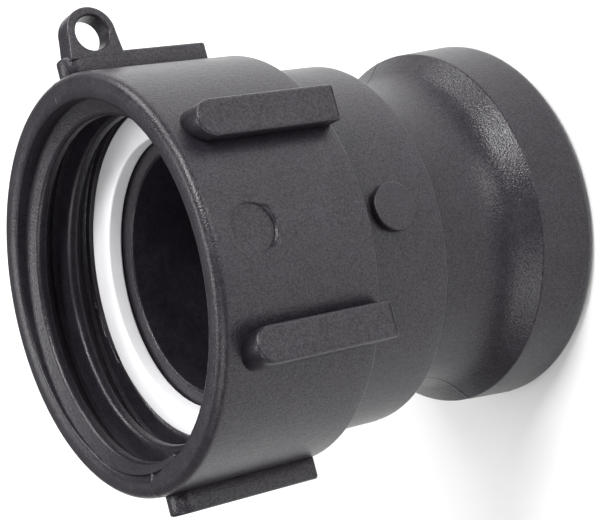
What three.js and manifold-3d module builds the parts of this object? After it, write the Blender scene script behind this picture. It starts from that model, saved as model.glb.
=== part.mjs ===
// Threaded-socket to cam-and-groove adapter: a one-piece moulded body and a flat gasket.
// Millimetres, +Z up. The axis is vertical: the threaded mouth faces +Z, the part stands
// on the plug's end face, the lanyard eye points to +X and the mould halves part on Y = 0.
import * as THREE from 'three';
import { mergeVertices } from 'three/addons/utils/BufferGeometryUtils.js';
import Module from 'manifold-3d';

const wasm = await Module();
wasm.setup();

// Overall
const LENGTH = 77.5;
const ROUND_STEPS = 72;
const UNION_SINK = 1.5;

// Collar around the threaded socket
const COLLAR_R = 34.3;
const COLLAR_LENGTH = 29.1;
const RIM_ROUND = 1.6;
const MOUTH_R = 30.1;
const MOUTH_DROP = 0.5;
const RIM_LAND_R = 31.9;
const EDGE_ROUND = 0.5;

// Mid barrel, cam groove and plug ring
const BARREL_R = 31.0;
const BARREL_END = 45.9;
const NECK_R = 25.7;
const NECK_FILLET = 2.0;
const FLARE_START = 55.8;
const FLARE_ROUND = 11;
const FLARE_SLOPE = 42;
const FLARE_END = 65.8;
const RING_FRONT_R = 31.35;
const RING_R = 31.85;
const RING_FRONT_ROUND = 0.5;
const RING_REAR_ROUND = 1.8;

// Bore, gasket seat and gasket
const BORE_R = 20.2;
const BORE_CHAMFER = 0.5;
const SEAT_DEPTH = 17.3;
const POCKET_R = 28.7;
const POCKET_TOP = 13.9;
const GASKET_OUTER_R = 28.2;
const GASKET_INNER_R = 22.7;
const GASKET_TOP = 14.2;
const GASKET_BOTTOM = 17.0;
const GASKET_ROUND = 0.5;

// Buttress thread in the socket: right-handed, one start
const THREAD_ROOT_R = 30.0;
const THREAD_CREST_R = 27.0;
const THREAD_PITCH = 6.0;
const THREAD_LEAD_FLANK = 0.8;
const THREAD_CREST_FLAT = 1.5;
const THREAD_TRAIL_FLANK = 2.85;
const THREAD_PHASE_DEPTH = 4.4;
const THREAD_PHASE_ANGLE = THREE.MathUtils.degToRad(60.5);
const THREAD_START_ANGLE = THREE.MathUtils.degToRad(196);
const THREAD_FADE_ANGLE = THREE.MathUtils.degToRad(130);
const THREAD_START_HEIGHT = 0.25;
const THREAD_STEPS_PER_TURN = 48;

// Grip ribs: walls run along Y, noses are half-round
const RIB_WIDTH = 5.8;
const AXIAL_RIB_OUT = 37.8;
const AXIAL_RIB_NOSE = 2.2;
const SIDE_RIB_OUT = 34.3;
const SIDE_RIB_X = 17.15;
const FRONT_RIB_NOSE = 3.5;
const BACK_RIB_NOSE = 2.9;
const RIB_END = 28.9;
const RIB_FOOT_COVER = 0.4;
const NOSE_STEPS = 10;

// Lanyard eye on the +X rib
const EYE_X = 41.1;
const EYE_DEPTH = 8.2;
const EYE_OUTER_R = 4.5;
const EYE_HOLE_R = 2.95;
const EYE_FOOT_HALF = 4.95;
const EYE_THICKNESS = 4.0;
const EYE_STEPS = 14;

// Flat discs facing +Y and -Y
const DISC_R = 3.9;
const COLLAR_DISC_DEPTH = 8.2;
const COLLAR_DISC_Y = 33.7;
const BARREL_DISC_DEPTH = 36.0;
const BARREL_DISC_Y = 32.2;
const DISC_STEPS = 32;

// The origin is under the middle of the bounding box, so the axis sits off it in X
const AXIS_X = -(EYE_X + EYE_OUTER_R - AXIAL_RIB_OUT) / 2;

// Height of a point given by its depth below the mouth face
const height = (depth) => LENGTH - depth;

// Points of a rounded corner, from one tangent point to the other, as [radius, depth]
function arc(centreR, centreDepth, radius, fromDeg, toDeg, steps) {
  const points = [];
  for (let i = 0; i <= steps; i += 1) {
    const turn = THREE.MathUtils.degToRad(fromDeg + ((toDeg - fromDeg) * i) / steps);
    points.push([centreR + radius * Math.cos(turn), centreDepth + radius * Math.sin(turn)]);
  }
  return points;
}

// Solid of revolution about Z from a closed list of [radius, depth]
function revolve(profile, steps) {
  const points = profile.map(([r, depth]) => new THREE.Vector2(r, height(depth)));
  points.push(points[0].clone());
  const lathe = new THREE.LatheGeometry(points, steps);
  lathe.rotateX(Math.PI / 2);
  return lathe;
}

// three's geometry as a manifold solid; welded, and turned outward when inside out
function solid(geometry) {
  const bare = new THREE.BufferGeometry();
  bare.setAttribute('position', geometry.getAttribute('position').clone());
  if (geometry.index) {
    bare.setIndex(geometry.index.clone());
  }
  const welded = mergeVertices(bare, 1e-4);
  const p = welded.getAttribute('position').array;
  const source = welded.index.array;
  const kept = [];
  let volume = 0;
  for (let i = 0; i < source.length; i += 3) {
    const [a, b, c] = [source[i], source[i + 1], source[i + 2]];
    if (a !== b && b !== c && c !== a) {
      kept.push(a, b, c);
      const va = new THREE.Vector3().fromArray(p, 3 * a);
      const vb = new THREE.Vector3().fromArray(p, 3 * b);
      const vc = new THREE.Vector3().fromArray(p, 3 * c);
      volume += va.dot(vb.cross(vc));
    }
  }
  if (volume < 0) {
    kept.reverse();
  }
  const mesh = new wasm.Mesh({
    numProp: 3,
    vertProperties: Float32Array.from(p),
    triVerts: Uint32Array.from(kept),
  });
  return new wasm.Manifold(mesh);
}

// A manifold solid back as a flat-shaded three geometry, moved so that its axis is in place
function geometryOf(manifold) {
  const mesh = manifold.getMesh();
  const geometry = new THREE.BufferGeometry();
  const positions = Float32Array.from(mesh.vertProperties);
  geometry.setAttribute('position', new THREE.BufferAttribute(positions, 3));
  geometry.setIndex(new THREE.BufferAttribute(Uint32Array.from(mesh.triVerts), 1));
  geometry.translate(AXIS_X, 0, 0);
  geometry.computeVertexNormals();
  return geometry;
}

// Revolved body: collar, barrel, groove, ring, bore, seat and the plain socket wall
function bodyProfile() {
  return [
    [THREAD_ROOT_R, MOUTH_DROP],
    [MOUTH_R, MOUTH_DROP],
    [RIM_LAND_R, 0],
    ...arc(COLLAR_R - RIM_ROUND, RIM_ROUND, RIM_ROUND, -90, 0, 4),
    ...arc(COLLAR_R - EDGE_ROUND, COLLAR_LENGTH - EDGE_ROUND, EDGE_ROUND, 0, 90, 2),
    [BARREL_R, COLLAR_LENGTH],
    ...arc(BARREL_R - EDGE_ROUND, BARREL_END - EDGE_ROUND, EDGE_ROUND, 0, 90, 2),
    ...arc(NECK_R + NECK_FILLET, BARREL_END + NECK_FILLET, NECK_FILLET, -90, -180, 3),
    ...arc(NECK_R + FLARE_ROUND, FLARE_START, FLARE_ROUND, 180, 180 - FLARE_SLOPE, 4),
    [RING_FRONT_R - RING_FRONT_ROUND, FLARE_END],
    [RING_FRONT_R, FLARE_END + RING_FRONT_ROUND],
    ...arc(RING_R - RING_REAR_ROUND, LENGTH - RING_REAR_ROUND, RING_REAR_ROUND, 0, 90, 4),
    [BORE_R + BORE_CHAMFER, LENGTH],
    [BORE_R, LENGTH - BORE_CHAMFER],
    [BORE_R, SEAT_DEPTH + BORE_CHAMFER],
    [BORE_R + BORE_CHAMFER, SEAT_DEPTH],
    [POCKET_R, SEAT_DEPTH],
    [POCKET_R, POCKET_TOP],
    [THREAD_ROOT_R, POCKET_TOP],
  ];
}

// Thread ridge: a trapezoid carried up the helix, its depth falling as the angle grows. Over the
// last stretch before the mouth its height falls evenly to a share of the full height.
function threadRidge() {
  const sink = 0.4;
  const trailDepth = (angle) =>
    THREAD_PHASE_DEPTH + (THREAD_PITCH * (THREAD_PHASE_ANGLE - angle)) / (2 * Math.PI);
  const angleAt = (depth) =>
    THREAD_PHASE_ANGLE - ((depth - THREAD_PHASE_DEPTH) * 2 * Math.PI) / THREAD_PITCH;
  const first = angleAt(POCKET_TOP + THREAD_PITCH);
  const last = THREAD_START_ANGLE;
  const steps = Math.ceil(((last - first) * THREAD_STEPS_PER_TURN) / (2 * Math.PI));
  const flankSink = sink / (THREAD_ROOT_R - THREAD_CREST_R);
  const section = [
    [THREAD_ROOT_R + sink, -THREAD_CREST_FLAT - THREAD_LEAD_FLANK * (1 + flankSink)],
    [THREAD_CREST_R, -THREAD_CREST_FLAT],
    [THREAD_CREST_R, 0],
    [THREAD_ROOT_R + sink, THREAD_TRAIL_FLANK * (1 + flankSink)],
  ];
  const positions = [];
  for (let i = 0; i <= steps; i += 1) {
    const angle = first + ((last - first) * i) / steps;
    const faded = Math.max(angle - THREAD_FADE_ANGLE, 0) / (last - THREAD_FADE_ANGLE);
    const share = 1 - (1 - THREAD_START_HEIGHT) * faded;
    section.forEach(([fullR, offset]) => {
      const r = THREAD_ROOT_R - (THREAD_ROOT_R - fullR) * share;
      const z = height(trailDepth(angle) + offset);
      positions.push(r * Math.cos(angle), r * Math.sin(angle), z);
    });
  }
  const index = [];
  for (let i = 0; i < steps; i += 1) {
    for (let j = 0; j < 4; j += 1) {
      const a = 4 * i + j;
      const b = 4 * i + ((j + 1) % 4);
      index.push(a, b, a + 4, b, b + 4, a + 4);
    }
  }
  const end = 4 * steps;
  index.push(0, 2, 1, 0, 3, 2, end, end + 1, end + 2, end, end + 2, end + 3);
  const geometry = new THREE.BufferGeometry();
  geometry.setAttribute('position', new THREE.Float32BufferAttribute(positions, 3));
  geometry.setIndex(index);
  return geometry;
}

// Plain ring between two radii and two depths, used to trim
function tube(innerR, outerR, top, bottom) {
  return revolve([[innerR, top], [outerR, top], [outerR, bottom], [innerR, bottom]], ROUND_STEPS);
}

// Outline drawn in X and depth, carried along Y from one place to another
function extrudeAlongY(shape, fromY, toY) {
  const geometry = new THREE.ExtrudeGeometry(shape, {
    depth: toY - fromY,
    bevelEnabled: false,
    curveSegments: EYE_STEPS,
  });
  geometry.rotateX(Math.PI / 2);
  geometry.translate(0, toY, LENGTH);
  return geometry;
}

// Rib outline with a half-round nose toward the mouth
function ribShape(centreX, nose) {
  const half = RIB_WIDTH / 2;
  const shape = new THREE.Shape();
  shape.moveTo(centreX + half, -RIB_END);
  shape.lineTo(centreX + half, -(nose + half));
  for (let i = 1; i <= NOSE_STEPS; i += 1) {
    const turn = (Math.PI * i) / NOSE_STEPS;
    shape.lineTo(centreX + half * Math.cos(turn), -(nose + half) + half * Math.sin(turn));
  }
  shape.lineTo(centreX - half, -RIB_END);
  shape.closePath();
  return shape;
}

// Rib on the parting plane: its nose is half-round in plan, seen along X
function axialRib(side) {
  const shape = ribShape(0, AXIAL_RIB_NOSE);
  const geometry = new THREE.ExtrudeGeometry(shape, {
    depth: AXIAL_RIB_OUT - COLLAR_R + UNION_SINK,
    bevelEnabled: false,
  });
  geometry.rotateX(Math.PI / 2);
  geometry.rotateZ(-Math.PI / 2);
  geometry.translate(AXIAL_RIB_OUT, 0, LENGTH);
  if (side < 0) {
    geometry.rotateZ(Math.PI);
  }
  return geometry;
}

// Arch-shaped eye with splayed feet and a round hole
function eye() {
  const shape = new THREE.Shape();
  shape.moveTo(AXIAL_RIB_OUT - UNION_SINK, -(EYE_DEPTH + EYE_FOOT_HALF));
  shape.lineTo(AXIAL_RIB_OUT, -(EYE_DEPTH + EYE_FOOT_HALF));
  for (let i = 0; i <= EYE_STEPS; i += 1) {
    const turn = (Math.PI * i) / EYE_STEPS;
    const x = EYE_X + EYE_OUTER_R * Math.sin(turn);
    shape.lineTo(x, -EYE_DEPTH - EYE_OUTER_R * Math.cos(turn));
  }
  shape.lineTo(AXIAL_RIB_OUT, -(EYE_DEPTH - EYE_FOOT_HALF));
  shape.lineTo(AXIAL_RIB_OUT - UNION_SINK, -(EYE_DEPTH - EYE_FOOT_HALF));
  shape.closePath();
  const hole = new THREE.Path();
  hole.absarc(EYE_X, -EYE_DEPTH, EYE_HOLE_R, 0, 2 * Math.PI, true);
  shape.holes.push(hole);
  const nearY = -RIB_WIDTH / 2;
  return extrudeAlongY(shape, nearY, nearY + EYE_THICKNESS);
}

// Short cylinder along Y between two distances from the axis, on the side named
function discCylinder(depth, fromY, toY, side) {
  const geometry = new THREE.CylinderGeometry(DISC_R, DISC_R, toY - fromY, DISC_STEPS);
  geometry.translate(0, (fromY + toY) / 2, 0);
  if (side < 0) {
    geometry.rotateZ(Math.PI);
  }
  geometry.translate(0, 0, height(depth));
  return geometry;
}

function buildBody() {
  let thread = solid(threadRidge());
  thread = thread.intersect(solid(tube(THREAD_CREST_R - 1, COLLAR_R - 2, MOUTH_DROP, POCKET_TOP)));
  let body = solid(revolve(bodyProfile(), ROUND_STEPS)).add(thread);
  const wallInside = THREAD_ROOT_R + RIB_FOOT_COVER;
  const sideRibFoot = Math.sqrt(wallInside ** 2 - (SIDE_RIB_X - RIB_WIDTH / 2) ** 2);
  [-1, 1].forEach((side) => {
    body = body.add(solid(axialRib(side)));
    [-1, 1].forEach((edge) => {
      const shape = ribShape(edge * SIDE_RIB_X, side < 0 ? FRONT_RIB_NOSE : BACK_RIB_NOSE);
      const from = side < 0 ? -SIDE_RIB_OUT : sideRibFoot;
      const to = side < 0 ? -sideRibFoot : SIDE_RIB_OUT;
      body = body.add(solid(extrudeAlongY(shape, from, to)));
    });
    body = body.add(solid(discCylinder(BARREL_DISC_DEPTH, BARREL_R - 1, BARREL_DISC_Y, side)));
    body = body.subtract(solid(discCylinder(COLLAR_DISC_DEPTH, COLLAR_DISC_Y, COLLAR_R + 1, side)));
  });
  return body.add(solid(eye()));
}

function gasketProfile() {
  const inner = GASKET_INNER_R + GASKET_ROUND;
  const outer = GASKET_OUTER_R - GASKET_ROUND;
  return [
    ...arc(inner, GASKET_TOP + GASKET_ROUND, GASKET_ROUND, 180, 270, 2),
    ...arc(outer, GASKET_TOP + GASKET_ROUND, GASKET_ROUND, 270, 360, 2),
    ...arc(outer, GASKET_BOTTOM - GASKET_ROUND, GASKET_ROUND, 0, 90, 2),
    ...arc(inner, GASKET_BOTTOM - GASKET_ROUND, GASKET_ROUND, 90, 180, 2),
  ];
}

const bodyMaterial = new THREE.MeshStandardMaterial({
  color: 0x232221,
  roughness: 0.55,
  metalness: 0,
});
const gasketMaterial = new THREE.MeshStandardMaterial({
  color: 0xf2f2ef,
  roughness: 0.45,
  metalness: 0,
});

const group = new THREE.Group();
group.name = 'camlock_adapter';

const body = new THREE.Mesh(geometryOf(buildBody()), bodyMaterial);
body.name = 'adapter_body';
group.add(body);

const gasketSolid = solid(revolve(gasketProfile(), ROUND_STEPS));
const gasket = new THREE.Mesh(geometryOf(gasketSolid), gasketMaterial);
gasket.name = 'gasket';
group.add(gasket);

export default group;
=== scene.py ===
"""Threaded-socket to cam-and-groove adapter in black plastic, with its white gasket.

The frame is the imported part: Z is the fitting's axis, the threaded mouth is up, the plug's
end face is on Z = 0, the lanyard eye points to +X and the mould halves part on Y = 0.
Sizes below are millimetres; a depth is measured down from the mouth face.
"""

import bmesh
import bpy
import numpy as np
from mathutils import Matrix, Vector


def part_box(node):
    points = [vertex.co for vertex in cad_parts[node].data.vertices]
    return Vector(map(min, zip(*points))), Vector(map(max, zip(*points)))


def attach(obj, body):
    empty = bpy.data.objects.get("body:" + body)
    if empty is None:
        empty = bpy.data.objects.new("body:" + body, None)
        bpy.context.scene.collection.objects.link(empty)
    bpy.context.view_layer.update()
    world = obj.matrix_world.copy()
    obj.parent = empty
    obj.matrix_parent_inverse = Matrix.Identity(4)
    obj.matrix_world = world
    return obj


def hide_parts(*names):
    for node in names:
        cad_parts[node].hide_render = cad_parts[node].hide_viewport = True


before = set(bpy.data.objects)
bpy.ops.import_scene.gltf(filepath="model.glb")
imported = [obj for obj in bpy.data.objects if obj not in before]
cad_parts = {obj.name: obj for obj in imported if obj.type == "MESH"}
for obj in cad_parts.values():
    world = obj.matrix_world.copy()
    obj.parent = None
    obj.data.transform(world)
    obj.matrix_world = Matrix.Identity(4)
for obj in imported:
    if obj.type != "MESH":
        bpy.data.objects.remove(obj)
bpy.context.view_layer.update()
BODY_LOW, BODY_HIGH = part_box("adapter_body")
GASKET_LOW, GASKET_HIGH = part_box("gasket")

MM = 0.001
TURN = 2 * np.pi

# Where the axis stands, and how tall the fitting is
AXIS_X = (GASKET_LOW.x + GASKET_HIGH.x) / 2
LENGTH = BODY_HIGH.z / MM

# Collar, barrel, groove and ring
COLLAR_R = 34.3
COLLAR_LENGTH = 29.1
RIM_ROUND = 1.6
RIM_LAND_R = 31.9
MOUTH_R = 30.1
MOUTH_DROP = 0.5
COLLAR_REAR_ROUND = 0.6
STEP_FILLET = 0.35
BARREL_R = 31.0
BARREL_END = 45.9
BARREL_REAR_ROUND = 0.9
NECK_R = 25.7
NECK_FILLET = 2.0
FLARE_START = 55.8
FLARE_ROUND = 11.0
FLARE_SLOPE = 42.0
RING_FRONT_R = 31.35
RING_R = 31.85
RING_FRONT = 65.8
RING_FRONT_ROUND = 0.6
RING_FRONT_SINK = 0.36
RING_FRONT_TURN = -48
RING_REAR_ROUND = 1.9

# Parting line: a fine raised trace on the outer skin, in the plane Y = 0
PARTING_PROUD = 0.07
PARTING_HALF_WIDTH = 0.16
PARTING_ANGLES = (0.16, 0.28, 0.42, 0.62)
SHELL_STEPS = 288

# Mouth edge by the parting plane: angles in degrees, and how far it stands outside MOUTH_R
MOUTH_RISE_ANGLES = (140, 179.9)
MOUTH_RISE = (0.0, 1.4)
MOUTH_FALL_ANGLES = (180.1, 188)
MOUTH_FALL = (0.9, 0.0)

# Socket, seat, bore
SOCKET_R = 30.0
POCKET_R = 28.7
POCKET_TOP = 13.9
SEAT_DEPTH = 17.3
BORE_R = 20.2
BORE_EDGE = 0.6
SEAT_CHAMFER = 0.2
POCKET_LIP_CHAMFER = 0.1

# Thread ridge: right-handed, one start
THREAD_CREST_R = 27.0
THREAD_PITCH = 6.0
THREAD_LEAD_FLANK = 0.8
THREAD_CREST_FLAT = 1.5
THREAD_TRAIL_FLANK = 2.85
THREAD_PHASE_DEPTH = 4.4
THREAD_PHASE_ANGLE = np.radians(60.5)
THREAD_START_ANGLE = np.radians(196)
THREAD_FADE_ANGLE = np.radians(130)
THREAD_START_HEIGHT = 0.25
THREAD_SINK = 0.5
THREAD_LEAD_ROUND = 0.9
THREAD_LEAD_INSET = 0.2
THREAD_CREST_ROUND = 0.25
THREAD_CREST_INSET = 0.1125
THREAD_TRAIL_INSET = 0.2
THREAD_STEPS_PER_TURN = 200
THREAD_POCKET_GAP = 0.02

# Grip ribs
RIB_WIDTH = 5.8
RIB_END = 28.9
RIB_ROUND = 0.55
RIB_CORNER = 0.55
AXIAL_RIB_COVER = 1.0
SIDE_RIB_COVER = 0.5
CAP_INSET = 0.12
AXIAL_RIB_OUT = 37.8
AXIAL_RIB_NOSE = 2.2
SIDE_RIB_OUT = 34.3
SIDE_RIB_X = 17.15
FRONT_RIB_NOSE = 3.5
BACK_RIB_NOSE = 2.9

# Lanyard eye
EYE_X = 41.1
EYE_DEPTH = 8.2
EYE_OUTER_R = 4.5
EYE_HOLE_R = 2.95
EYE_THICKNESS = 4.0
EYE_ROUND = 0.5
EYE_LEG_NORMAL = (3.3, 0.45)
EYE_FOOT = 4.4
EYE_PROUD = 0.03

# Pull-direction discs
DISC_R = 3.9
COLLAR_DISC_DEPTH = 8.2
COLLAR_DISC_Y = 33.7
BARREL_DISC_DEPTH = 36.0
BARREL_DISC_Y = 32.2
BARREL_DISC_SINK = 1.2
BARREL_DISC_ROUND = 0.25
CUTTER_OVERSHOOT = 2.0
CUTTER_ROUND = 0.1

# Gasket
GASKET_INNER_R = 22.7
GASKET_EDGE = 0.45


# ---------------------------------------------------------------- mesh helpers

def place(points):
    """Fitting coordinates (x, y from the axis, depth from the mouth) to metres in the frame."""
    points = np.asarray(points, float)
    out = np.empty_like(points)
    out[..., 0] = points[..., 0] * MM + AXIS_X
    out[..., 1] = points[..., 1] * MM
    out[..., 2] = (LENGTH - points[..., 2]) * MM
    return out


def mesh_object(name, vertices, faces, flat_from=None):
    """Mesh from arrays; faces whose index is flat_from or later are shaded flat."""
    mesh = bpy.data.meshes.new(name)
    mesh.from_pydata(vertices.reshape(-1, 3).tolist(), [], faces)
    smooth = np.ones(len(mesh.polygons), bool)
    if flat_from is not None:
        smooth[flat_from:] = False
    mesh.polygons.foreach_set("use_smooth", smooth)
    mesh.update()
    obj = bpy.data.objects.new(name, mesh)
    bpy.context.scene.collection.objects.link(obj)
    return obj


def grid_faces(rows, columns, wrap_rows, wrap_columns):
    """Quads of a rows by columns grid; either way round may close on itself."""
    row = np.arange(rows if wrap_rows else rows - 1)
    col = np.arange(columns if wrap_columns else columns - 1)
    i, j = np.meshgrid(row, col, indexing="ij")
    i2, j2 = (i + 1) % rows, (j + 1) % columns
    quads = [i * columns + j, i * columns + j2, i2 * columns + j2, i2 * columns + j]
    return np.stack(quads, -1).reshape(-1, 4)


def face_outward(obj):
    """Turns every face outward on a closed mesh."""
    work = bmesh.new()
    work.from_mesh(obj.data)
    bmesh.ops.recalc_face_normals(work, faces=work.faces)
    work.to_mesh(obj.data)
    work.free()
    return obj


def corner(centre, radius, start, stop, steps):
    """Points on a circle about centre, from one angle in degrees to another."""
    turn = np.radians(np.linspace(start, stop, steps + 1))
    return [(centre[0] + radius * np.cos(t), centre[1] + radius * np.sin(t)) for t in turn]


def line(a, b, steps):
    """Points between a and b, both ends left out."""
    t = np.linspace(0, 1, steps + 1)[1:-1, None]
    return [tuple(p) for p in (1 - t) * np.array(a) + t * np.array(b)]


# ---------------------------------------------------------------- moulded shell

def flare_curve():
    """Neck to ring: a circle that leaves the neck along the axis and turns through the flare's
    slope, then a straight cone up to the ring's front edge."""
    return corner((NECK_R + FLARE_ROUND, FLARE_START), FLARE_ROUND, 180, 180 - FLARE_SLOPE, 10)


def rim_curve():
    """Mouth edge to rim land: the depth falls off with the square of the way across."""
    t = np.linspace(0, 1, 8)
    return list(zip(MOUTH_R + (RIM_LAND_R - MOUTH_R) * t, MOUTH_DROP * (1 - t) ** 2))


def shell_profile():
    """Closed section of the body as (radius, depth), and which points are outer skin."""
    outer = rim_curve()
    outer += corner((COLLAR_R - RIM_ROUND, RIM_ROUND), RIM_ROUND, -90, 0, 10)
    outer += line((COLLAR_R, RIM_ROUND), (COLLAR_R, COLLAR_LENGTH - COLLAR_REAR_ROUND), 10)
    outer += corner((COLLAR_R - COLLAR_REAR_ROUND, COLLAR_LENGTH - COLLAR_REAR_ROUND),
                    COLLAR_REAR_ROUND, 0, 90, 5)
    outer += corner((BARREL_R + STEP_FILLET, COLLAR_LENGTH + STEP_FILLET), STEP_FILLET, -90, -180, 4)
    outer += line((BARREL_R, COLLAR_LENGTH + 1), (BARREL_R, BARREL_END - 2), 8)
    outer += corner((BARREL_R - BARREL_REAR_ROUND, BARREL_END - BARREL_REAR_ROUND),
                    BARREL_REAR_ROUND, 0, 90, 6)
    outer += corner((NECK_R + NECK_FILLET, BARREL_END + NECK_FILLET), NECK_FILLET, -90, -180, 8)
    outer += line((NECK_R, BARREL_END + NECK_FILLET), (NECK_R, FLARE_START), 4)
    outer += flare_curve()
    outer += corner((RING_FRONT_R - RING_FRONT_ROUND, RING_FRONT + RING_FRONT_SINK),
                    RING_FRONT_ROUND, RING_FRONT_TURN, 0, 7)
    outer += line((RING_FRONT_R, RING_FRONT + 0.4), (RING_R, LENGTH - RING_REAR_ROUND), 6)
    outer += corner((RING_R - RING_REAR_ROUND, LENGTH - RING_REAR_ROUND),
                    RING_REAR_ROUND, 0, 90, 8)
    inner = corner((BORE_R + BORE_EDGE, LENGTH - BORE_EDGE), BORE_EDGE, 90, 180, 5)
    inner += line((BORE_R, LENGTH - 1), (BORE_R, SEAT_DEPTH + 1), 12)
    inner += corner((BORE_R + BORE_EDGE, SEAT_DEPTH + BORE_EDGE), BORE_EDGE, 180, 270, 5)
    inner += [(POCKET_R - SEAT_CHAMFER, SEAT_DEPTH), (POCKET_R, SEAT_DEPTH - SEAT_CHAMFER)]
    inner += [(POCKET_R, POCKET_TOP + POCKET_LIP_CHAMFER), (POCKET_R + POCKET_LIP_CHAMFER, POCKET_TOP)]
    inner += [(SOCKET_R - SEAT_CHAMFER, POCKET_TOP), (SOCKET_R, POCKET_TOP - SEAT_CHAMFER)]
    inner += line((SOCKET_R, POCKET_TOP - 0.4), (SOCKET_R, 1.2), 5)
    inner += [(SOCKET_R, 1.0), (SOCKET_R + 0.02, 0.8), (MOUTH_R - 0.02, MOUTH_DROP + 0.08)]
    skin = np.r_[np.ones(len(outer)), np.zeros(len(inner))]
    return np.array(outer + inner), skin


def shell_angles():
    """Angles round the axis, evenly spaced, with extra ones packed round the parting plane."""
    even = np.linspace(0, TURN, SHELL_STEPS, endpoint=False)
    fine = np.radians([-a for a in PARTING_ANGLES[::-1]] + list(PARTING_ANGLES))
    return np.unique(np.round(np.r_[even, fine % TURN, (fine + np.pi) % TURN], 9))


def mouth_flare(angle):
    """How far the mouth edge stands outside its plain radius near the thread's start: it grows
    in a straight line up to the parting plane, then falls away quickly past it."""
    degrees = np.degrees(angle)
    growing = np.interp(degrees, MOUTH_RISE_ANGLES, MOUTH_RISE, left=0, right=0)
    past = np.interp(degrees, MOUTH_FALL_ANGLES, MOUTH_FALL, left=0, right=0)
    return growing + past


def build_shell():
    """Section carried round the axis. The outer skin stands a little proud in a narrow band
    on the parting plane: height times exp(-(distance / half-width) squared). The mouth edge
    moves out by mouth_flare, and the rim's slope follows it less and less."""
    section, skin = shell_profile()
    angle = shell_angles()
    r, depth = section[:, 0][None, :], section[:, 1][None, :]
    off = np.abs(np.sin(angle))[:, None] * r
    proud = PARTING_PROUD * np.exp(-(off / PARTING_HALF_WIDTH) ** 2) * skin[None, :]
    edge = np.gradient(section, axis=0)
    normal = np.stack([edge[:, 1], -edge[:, 0]], -1)
    normal /= np.linalg.norm(normal, axis=1, keepdims=True)
    flare_share = np.zeros(len(section))
    rim_points = len(rim_curve())
    flare_share[:rim_points] = np.linspace(1, 0, rim_points)
    flare_share[-1] = 1
    radius = r + proud * normal[:, 0][None, :] + mouth_flare(angle)[:, None] * flare_share
    radius = np.minimum(radius, COLLAR_R + PARTING_PROUD)
    down = np.clip(depth + proud * normal[:, 1][None, :], 0, LENGTH)
    points = np.stack([radius * np.cos(angle)[:, None], radius * np.sin(angle)[:, None],
                       np.broadcast_to(down, radius.shape)], -1)
    faces = grid_faces(len(angle), len(section), True, True)
    return face_outward(mesh_object("shell_moulding", place(points), faces.tolist()))


# ---------------------------------------------------------------- thread

def build_thread():
    """Trapezoid with rounded crest corners carried down a helix: depth falls by one pitch for
    each turn of growing angle. Past the fade angle its height falls in a straight line to a
    share of the full height. The ends are cut level with the mouth and the pocket."""
    root = SOCKET_R + THREAD_SINK
    stretch = 1 + THREAD_SINK / (SOCKET_R - THREAD_CREST_R)
    lead_foot = (root, -THREAD_CREST_FLAT - THREAD_LEAD_FLANK * stretch)
    trail_foot = (root, THREAD_TRAIL_FLANK * stretch)
    lead_r = THREAD_CREST_R + THREAD_LEAD_ROUND
    lead_depth = -THREAD_CREST_FLAT - THREAD_LEAD_INSET
    crest_r = THREAD_CREST_R + THREAD_CREST_ROUND
    section = [lead_foot]
    section += line(lead_foot, (lead_r, lead_depth), 4)
    section += corner((lead_r, lead_depth + THREAD_LEAD_ROUND), THREAD_LEAD_ROUND, -97, -180, 9)
    section += corner((crest_r, -THREAD_CREST_INSET), THREAD_CREST_ROUND, 180, 135, 3)
    section += line((crest_r, THREAD_TRAIL_INSET), trail_foot, 6)
    section += [trail_foot]
    section = np.array(section)
    slope = THREAD_PITCH / TURN
    first = THREAD_PHASE_ANGLE - (POCKET_TOP + THREAD_PITCH - THREAD_PHASE_DEPTH) / slope
    last = THREAD_START_ANGLE
    angle = np.linspace(first, last, int(THREAD_STEPS_PER_TURN * (last - first) / TURN))
    trail_depth = THREAD_PHASE_DEPTH + slope * (THREAD_PHASE_ANGLE - angle)
    faded = np.clip((angle - THREAD_FADE_ANGLE) / (last - THREAD_FADE_ANGLE), 0, 1)
    share = 1 - (1 - THREAD_START_HEIGHT) * faded
    r = SOCKET_R - (SOCKET_R - section[:, 0])[None, :] * share[:, None]
    depth = trail_depth[:, None] + section[:, 1][None, :]
    points = np.stack([r * np.cos(angle)[:, None], r * np.sin(angle)[:, None], depth], -1)
    faces = grid_faces(len(angle), len(section), False, True).tolist()
    n, m = len(angle), len(section)
    faces += [list(range(m)), list(range((n - 1) * m, n * m))[::-1]]
    obj = face_outward(mesh_object("thread_ridge", place(points), faces))
    work = bmesh.new()
    work.from_mesh(obj.data)
    for cut_depth, keep in ((MOUTH_DROP, -1), (POCKET_TOP - THREAD_POCKET_GAP, 1)):
        cut = bmesh.ops.bisect_plane(
            work, geom=work.verts[:] + work.edges[:] + work.faces[:],
            plane_co=(0, 0, (LENGTH - cut_depth) * MM), plane_no=(0, 0, -keep), clear_outer=True)
        rim = [e for e in cut["geom_cut"] if isinstance(e, bmesh.types.BMEdge)]
        made = bmesh.ops.edgenet_fill(work, edges=rim)
        for face in made["faces"]:
            face.smooth = False
    bmesh.ops.recalc_face_normals(work, faces=work.faces)
    work.to_mesh(obj.data)
    work.free()
    return obj


# ---------------------------------------------------------------- ribs, discs, eye

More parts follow.
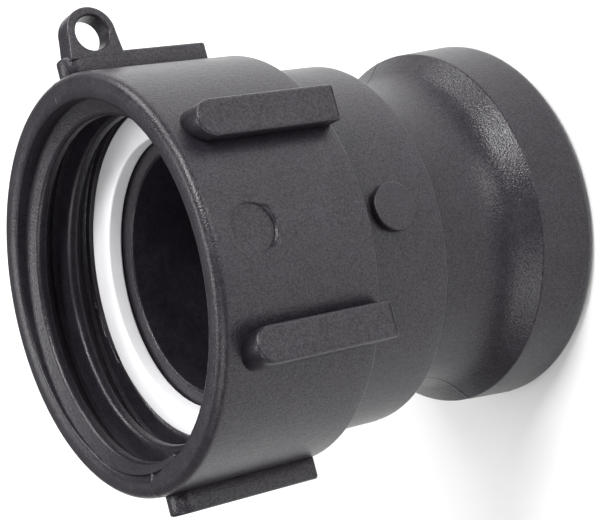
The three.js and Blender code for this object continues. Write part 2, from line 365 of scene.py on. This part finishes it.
def rounded_prism(name, outline, normal, foot, top, rounding, to_space):
    """Outline carried straight up from foot to top. Near the top it draws in along its own
    normals by rounding times (1 - cos), while rising by rounding times sin. to_space turns
    (across, depth, height) into fitting coordinates."""
    turn = np.radians(np.linspace(0, 90, 6))
    lift = np.r_[foot, top - rounding + rounding * np.sin(turn), top]
    draw = np.r_[0, rounding * (1 - np.cos(turn)), rounding + CAP_INSET]
    plan = outline[None] - normal[None] * draw[:, None, None]
    points = to_space(plan[..., 0], plan[..., 1], np.broadcast_to(lift[:, None], plan.shape[:2]))
    rows, columns = plan.shape[:2]
    faces = grid_faces(rows, columns, False, True).tolist()
    caps = len(faces)
    faces += [list(range((rows - 1) * columns, rows * columns)), list(range(columns))[::-1]]
    return face_outward(mesh_object(name, place(points), faces, flat_from=caps))


def rib_outline(nose):
    """Plan of a rib: half-round nose, straight sides, small corners at the rear end. Returns
    points (across, depth) and their outward normals."""
    half = RIB_WIDTH / 2
    parts = []
    for cx, cd, radius, start, stop, steps in (
        (0, nose + half, half, -180, 0, 24),
        (half - RIB_CORNER, RIB_END - RIB_CORNER, RIB_CORNER, 0, 90, 5),
        (-half + RIB_CORNER, RIB_END - RIB_CORNER, RIB_CORNER, 90, 180, 5),
    ):
        turn = np.radians(np.linspace(start, stop, steps + 1))
        away = np.stack([np.cos(turn), np.sin(turn)], -1)
        parts.append((np.array([cx, cd]) + radius * away, away))
    return np.concatenate([p for p, _ in parts]), np.concatenate([n for _, n in parts])


def build_ribs():
    """Two ribs on the parting plane, and four whose walls run along Y."""
    ribs = []
    for side, name in ((1, "eye_side"), (-1, "far_side")):
        outline, normal = rib_outline(AXIAL_RIB_NOSE)
        ribs.append(rounded_prism(
            f"grip_rib_{name}", outline, normal,
            SOCKET_R + AXIAL_RIB_COVER, AXIAL_RIB_OUT, RIB_ROUND,
            lambda a, d, h, s=side: np.stack([s * h, a, d], -1)))
    foot = np.sqrt((SOCKET_R + SIDE_RIB_COVER) ** 2 - (SIDE_RIB_X - RIB_WIDTH / 2) ** 2)
    for y_side, y_name, nose in ((-1, "front", FRONT_RIB_NOSE), (1, "back", BACK_RIB_NOSE)):
        for x_side, x_name in ((1, "upper"), (-1, "lower")):
            outline, normal = rib_outline(nose)
            ribs.append(rounded_prism(
                f"grip_rib_{y_name}_{x_name}", outline, normal, foot, SIDE_RIB_OUT, RIB_ROUND,
                lambda a, d, h, s=y_side, c=x_side * SIDE_RIB_X: np.stack([a + c, s * h, d], -1)))
    return ribs


def circle_outline(radius, depth):
    """Plan of a disc as points (across, depth) and their outward normals."""
    turn = np.linspace(0, TURN, 72, endpoint=False)
    away = np.stack([np.cos(turn), np.sin(turn)], -1)
    return np.array([0, depth]) + radius * away, away


def build_barrel_discs():
    """Raised round pads on the barrel, one on each side."""
    discs = []
    for side, name in ((-1, "front"), (1, "back")):
        outline, normal = circle_outline(DISC_R, BARREL_DISC_DEPTH)
        discs.append(rounded_prism(
            f"barrel_disc_{name}", outline, normal,
            BARREL_R - BARREL_DISC_SINK, BARREL_DISC_Y, BARREL_DISC_ROUND,
            lambda a, d, h, s=side: np.stack([a, s * h, d], -1)))
    return discs


def carve_collar_discs(shell):
    """Sinks a flat round facet into the collar on each side."""
    for side in (-1, 1):
        outline, normal = circle_outline(DISC_R, COLLAR_DISC_DEPTH)
        cutter = rounded_prism(
            "cutter", outline, normal, COLLAR_DISC_Y, COLLAR_R + CUTTER_OVERSHOOT, CUTTER_ROUND,
            lambda a, d, h, s=side: np.stack([a, s * h, d], -1))
        cut = shell.modifiers.new("disc", "BOOLEAN")
        cut.operation = "DIFFERENCE"
        cut.solver = "EXACT"
        cut.object = cutter
        bpy.context.view_layer.update()
        graph = bpy.context.evaluated_depsgraph_get()
        carved = bpy.data.meshes.new_from_object(shell.evaluated_get(graph))
        shell.modifiers.clear()
        old = shell.data
        shell.data = carved
        bpy.data.meshes.remove(old)
        bpy.data.objects.remove(cutter)


def eye_reach(angle):
    """Distance from the eye's centre to its outline: a circle above the middle, splayed legs
    below it, ending on a straight foot inside the rib."""
    along, up = np.cos(angle), np.sin(angle)
    tiny, far = 1e-6, 99
    leg_normal = np.array(EYE_LEG_NORMAL) / np.hypot(*EYE_LEG_NORMAL)
    leg = leg_normal[0] * EYE_OUTER_R
    facing = leg_normal[0] * np.abs(along) + leg_normal[1] * up
    leg_reach = np.where(facing > tiny, leg / np.maximum(facing, tiny), far)
    foot_reach = np.where(up < -tiny, EYE_FOOT / np.maximum(-up, tiny), far)
    return np.where(up >= 0, EYE_OUTER_R, np.minimum(leg_reach, foot_reach))


def build_eye():
    """Rounded rectangle between hole and outline, carried once round the eye's centre."""
    angle = np.linspace(0, TURN, 144, endpoint=False)
    outer = eye_reach(angle)
    near, far = -RIB_WIDTH / 2 - EYE_PROUD, -RIB_WIDTH / 2 + EYE_THICKNESS
    on_outline, shift, y = [], [], []
    for outline_side, far_side, start in ((1, 1, 0), (0, 1, 90), (0, 0, 180), (1, 0, 270)):
        turn = np.radians(np.linspace(start, start + 90, 6))
        on_outline += [outline_side] * len(turn)
        inset = -EYE_ROUND if outline_side else EYE_ROUND
        shift += list(inset + EYE_ROUND * np.cos(turn))
        base = far - EYE_ROUND if far_side else near + EYE_ROUND
        y += list(base + EYE_ROUND * np.sin(turn))
    y = np.array(y)
    edge = np.where(np.array(on_outline)[None, :] > 0, outer[:, None], EYE_HOLE_R)
    reach = edge + np.array(shift)[None, :]
    points = np.stack([EYE_X + reach * np.sin(angle)[:, None],
                       np.broadcast_to(y[None, :], reach.shape),
                       EYE_DEPTH + reach * np.cos(angle)[:, None]], -1)
    faces = grid_faces(len(angle), len(y), True, True).tolist()
    return face_outward(mesh_object("lanyard_eye", place(points), faces))


# ---------------------------------------------------------------- gasket

def build_gasket():
    """Rectangle with rounded corners carried round the axis. Its outer edge and its two faces
    come from the frame."""
    outer = (GASKET_HIGH.x - GASKET_LOW.x) / 2 / MM
    top = LENGTH - GASKET_HIGH.z / MM
    bottom = LENGTH - GASKET_LOW.z / MM
    low_r, high_r = GASKET_INNER_R + GASKET_EDGE, outer - GASKET_EDGE
    upper, lower = top + GASKET_EDGE, bottom - GASKET_EDGE
    section = corner((high_r, upper), GASKET_EDGE, -90, 0, 6)
    section += corner((high_r, lower), GASKET_EDGE, 0, 90, 6)
    section += corner((low_r, lower), GASKET_EDGE, 90, 180, 6)
    section += corner((low_r, upper), GASKET_EDGE, 180, 270, 6)
    section = np.array(section)
    angle = np.linspace(0, TURN, 256, endpoint=False)
    r = np.broadcast_to(section[:, 0][None, :], (len(angle), len(section)))
    depth = np.broadcast_to(section[:, 1][None, :], r.shape)
    points = np.stack([r * np.cos(angle)[:, None], r * np.sin(angle)[:, None], depth], -1)
    faces = grid_faces(len(angle), len(section), True, True).tolist()
    return face_outward(mesh_object("flat_gasket", place(points), faces))


# ---------------------------------------------------------------- materials

def linear(hex_colour):
    """sRGB hex to linear RGBA."""
    channels = [int(hex_colour[i:i + 2], 16) / 255 for i in (1, 3, 5)]
    return tuple(c / 12.92 if c <= 0.04045 else ((c + 0.055) / 1.055) ** 2.4
                 for c in channels) + (1.0,)


def new_material(name):
    """Empty node tree of a new material."""
    material = bpy.data.materials.new(name)
    material.use_nodes = True
    material.node_tree.nodes.clear()
    return material.node_tree


def add_node(tree, kind, inputs=None, **settings):
    """Adds one node: settings are its attributes, inputs its sockets' values or links."""
    node = tree.nodes.new(kind)
    for key, value in settings.items():
        setattr(node, key, value)
    for key, value in (inputs or {}).items():
        if isinstance(value, bpy.types.NodeSocket):
            tree.links.new(value, node.inputs[key])
        else:
            node.inputs[key].default_value = value
    return node


def ramp(tree, factor, stops):
    """Colour ramp from (place, sRGB hex) stops."""
    node = add_node(tree, "ShaderNodeValToRGB", {"Fac": factor})
    elements = node.color_ramp.elements
    while len(elements) < len(stops):
        elements.new(0.5)
    for element, (position, colour) in zip(elements, stops):
        element.position = position
        element.color = linear(colour)
    return node.outputs["Color"]


def per_metre(feature_mm):
    """Noise scale that gives features of this size on coordinates in metres."""
    return 1 / (feature_mm * MM)


def glass_filled_polypropylene():
    """Injection-moulded black polypropylene with short glass fibres, off a spark-eroded mould.
    To the eye: a soft satin skin, finely pitted and faintly sparkling, with weak clouding
    where the fibres swirl. Sizes of the patterns are in millimetres, bump heights in metres."""
    cloud_size, mottle_size, grain_size = 6.0, 1.1, 0.28
    grain_height, mottle_height = 0.00006, 0.00012
    tree = new_material("black_glass_filled_polypropylene_moulded")
    place_on = add_node(tree, "ShaderNodeTexCoord").outputs["Object"]
    clouds = add_node(tree, "ShaderNodeTexNoise", {
        "Vector": place_on, "Scale": per_metre(cloud_size), "Detail": 4.0,
        "Roughness": 0.6}).outputs["Fac"]
    mottle = add_node(tree, "ShaderNodeTexNoise", {
        "Vector": place_on, "Scale": per_metre(mottle_size), "Detail": 3.0,
        "Roughness": 0.65}).outputs["Fac"]
    grain = add_node(tree, "ShaderNodeTexNoise", {
        "Vector": place_on, "Scale": per_metre(grain_size), "Detail": 1.0,
        "Roughness": 0.6}).outputs["Fac"]
    both = add_node(tree, "ShaderNodeMath", {0: clouds, 1: mottle}, operation="ADD").outputs[0]
    half = add_node(tree, "ShaderNodeMath", {0: both, 1: 0.5}, operation="MULTIPLY").outputs[0]
    colour = ramp(tree, half, [(0.32, "#19151c"), (0.5, "#201c23"), (0.68, "#28232b")])
    rough = add_node(tree, "ShaderNodeMapRange", {
        "Value": half, "From Min": 0.3, "From Max": 0.7, "To Min": 0.28, "To Max": 0.38}).outputs[0]
    fine = add_node(tree, "ShaderNodeBump", {
        "Height": grain, "Strength": 1.0, "Distance": grain_height}).outputs["Normal"]
    coarse = add_node(tree, "ShaderNodeBump", {
        "Height": mottle, "Strength": 0.4, "Distance": mottle_height, "Normal": fine}).outputs["Normal"]
    glint = add_node(tree, "ShaderNodeMapRange", {
        "Value": grain, "From Min": 0.35, "From Max": 0.65, "To Min": 0.28, "To Max": 0.56}).outputs[0]
    shader = add_node(tree, "ShaderNodeBsdfPrincipled", {
        "Base Color": colour, "Roughness": rough, "IOR": 1.49, "Metallic": 0.0,
        "Specular IOR Level": glint, "Normal": coarse})
    add_node(tree, "ShaderNodeOutputMaterial", {"Surface": shader.outputs["BSDF"]})
    return bpy.data.materials["black_glass_filled_polypropylene_moulded"]


def white_rubber():
    """White nitrile sheet, die-cut. To the eye: even white, very faintly clouded, soft satin.
    Sizes of the patterns are in millimetres, bump heights in metres."""
    cloud_size, grain_size = 5.0, 0.6
    grain_height = 0.00003
    tree = new_material("white_nitrile_rubber_die_cut")
    place_on = add_node(tree, "ShaderNodeTexCoord").outputs["Object"]
    clouds = add_node(tree, "ShaderNodeTexNoise", {
        "Vector": place_on, "Scale": per_metre(cloud_size), "Detail": 3.0,
        "Roughness": 0.5}).outputs["Fac"]
    colour = ramp(tree, clouds, [(0.3, "#f6f5f8"), (0.7, "#fcfbfd")])
    grain = add_node(tree, "ShaderNodeTexNoise", {
        "Vector": place_on, "Scale": per_metre(grain_size), "Detail": 2.0}).outputs["Fac"]
    bump = add_node(tree, "ShaderNodeBump", {
        "Height": grain, "Strength": 0.25, "Distance": grain_height}).outputs["Normal"]
    shader = add_node(tree, "ShaderNodeBsdfPrincipled", {
        "Base Color": colour, "Roughness": 0.38, "IOR": 1.5, "Normal": bump})
    add_node(tree, "ShaderNodeOutputMaterial", {"Surface": shader.outputs["BSDF"]})
    return bpy.data.materials["white_nitrile_rubber_die_cut"]


def pale_floor():
    """Seamless matt paper. To the eye: very pale, without shine, with a trace of unevenness."""
    cloud_size = 60.0
    tree = new_material("pale_matt_paper")
    place_on = add_node(tree, "ShaderNodeTexCoord").outputs["Object"]
    clouds = add_node(tree, "ShaderNodeTexNoise", {
        "Vector": place_on, "Scale": per_metre(cloud_size), "Detail": 2.0}).outputs["Fac"]
    colour = ramp(tree, clouds, [(0.3, "#f6f6f6"), (0.7, "#fafafa")])
    shader = add_node(tree, "ShaderNodeBsdfPrincipled", {
        "Base Color": colour, "Roughness": 0.9, "IOR": 1.45})
    add_node(tree, "ShaderNodeOutputMaterial", {"Surface": shader.outputs["BSDF"]})
    return bpy.data.materials["pale_matt_paper"]


# ---------------------------------------------------------------- assembly

black_plastic = glass_filled_polypropylene()
shell = build_shell()
carve_collar_discs(shell)
body_pieces = [shell, build_thread(), *build_ribs(), *build_barrel_discs(), build_eye()]
for piece in body_pieces:
    piece.data.materials.clear()
    piece.data.materials.append(black_plastic)
    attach(piece, "root")
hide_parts("adapter_body")

gasket = build_gasket()
gasket.data.materials.append(white_rubber())
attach(gasket, "root")
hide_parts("gasket")


# ---------------------------------------------------------------- stage

def add_floor():
    """Level square of paper on Z = 0, reaching well past the picture."""
    half = 3.0
    corners = np.array([[-half, -half, 0], [half, -half, 0], [half, half, 0], [-half, half, 0]])
    floor = mesh_object("floor", corners, [[0, 1, 2, 3]])
    floor.data.materials.append(pale_floor())


def add_light(name, position, target, size, power):
    """Square area light at position, in metres, facing target."""
    lamp = bpy.data.lights.new(name, "AREA")
    lamp.shape = "SQUARE"
    lamp.size = size
    lamp.energy = power
    obj = bpy.data.objects.new(name, lamp)
    obj.location = position
    obj.rotation_mode = "QUATERNION"
    obj.rotation_quaternion = (Vector(target) - Vector(position)).to_track_quat("-Z", "Y")
    bpy.context.scene.collection.objects.link(obj)


def add_camera():
    """Camera set from where it stands, where it looks and which way is up in its picture."""
    camera = bpy.data.cameras.new("camera")
    camera.sensor_width = 36.0
    camera.lens = 106.5
    camera.clip_start, camera.clip_end = 0.01, 20.0
    camera.shift_x, camera.shift_y = 0.0014, 0.0008
    position = Vector((-0.0379, -0.2473, 0.2110))
    forward = Vector((0.10754, 0.81683, -0.56677)).normalized()
    up = Vector((0.96095, -0.23159, -0.15144))
    right = forward.cross(up).normalized()
    up = right.cross(forward)
    obj = bpy.data.objects.new("camera", camera)
    turn = Matrix((right, up, -forward)).transposed()
    obj.matrix_world = Matrix.Translation(position) @ turn.to_4x4()
    bpy.context.scene.collection.objects.link(obj)
    bpy.context.scene.camera = obj


def add_world():
    """Even, weak white light from all round."""
    world = bpy.data.worlds.new("studio")
    world.use_nodes = True
    background = world.node_tree.nodes["Background"]
    background.inputs["Color"].default_value = (1.0, 1.0, 1.0, 1.0)
    background.inputs["Strength"].default_value = 0.30
    bpy.context.scene.world = world


add_floor()
add_world()
add_camera()
CENTRE = (0.0, 0.0, 0.04)
BELOW_CENTRE = (0.0, 0.0, 0.03)
for lamp in (
    ("key", (0.50, -0.46, 0.72), CENTRE, 0.30, 8.0),
    ("side", (0.80, 0.10, 0.50), CENTRE, 0.4, 5.0),
    ("front_low", (0.17, -0.66, 0.08), BELOW_CENTRE, 0.24, 1.3),
    ("over_mouth", (0.12, 0.40, 0.92), CENTRE, 0.45, 4.0),
    ("fill", (-0.50, -0.25, 0.60), CENTRE, 0.5, 2.5),
):
    add_light(*lamp)

bpy.context.scene.view_settings.view_transform = "Standard"
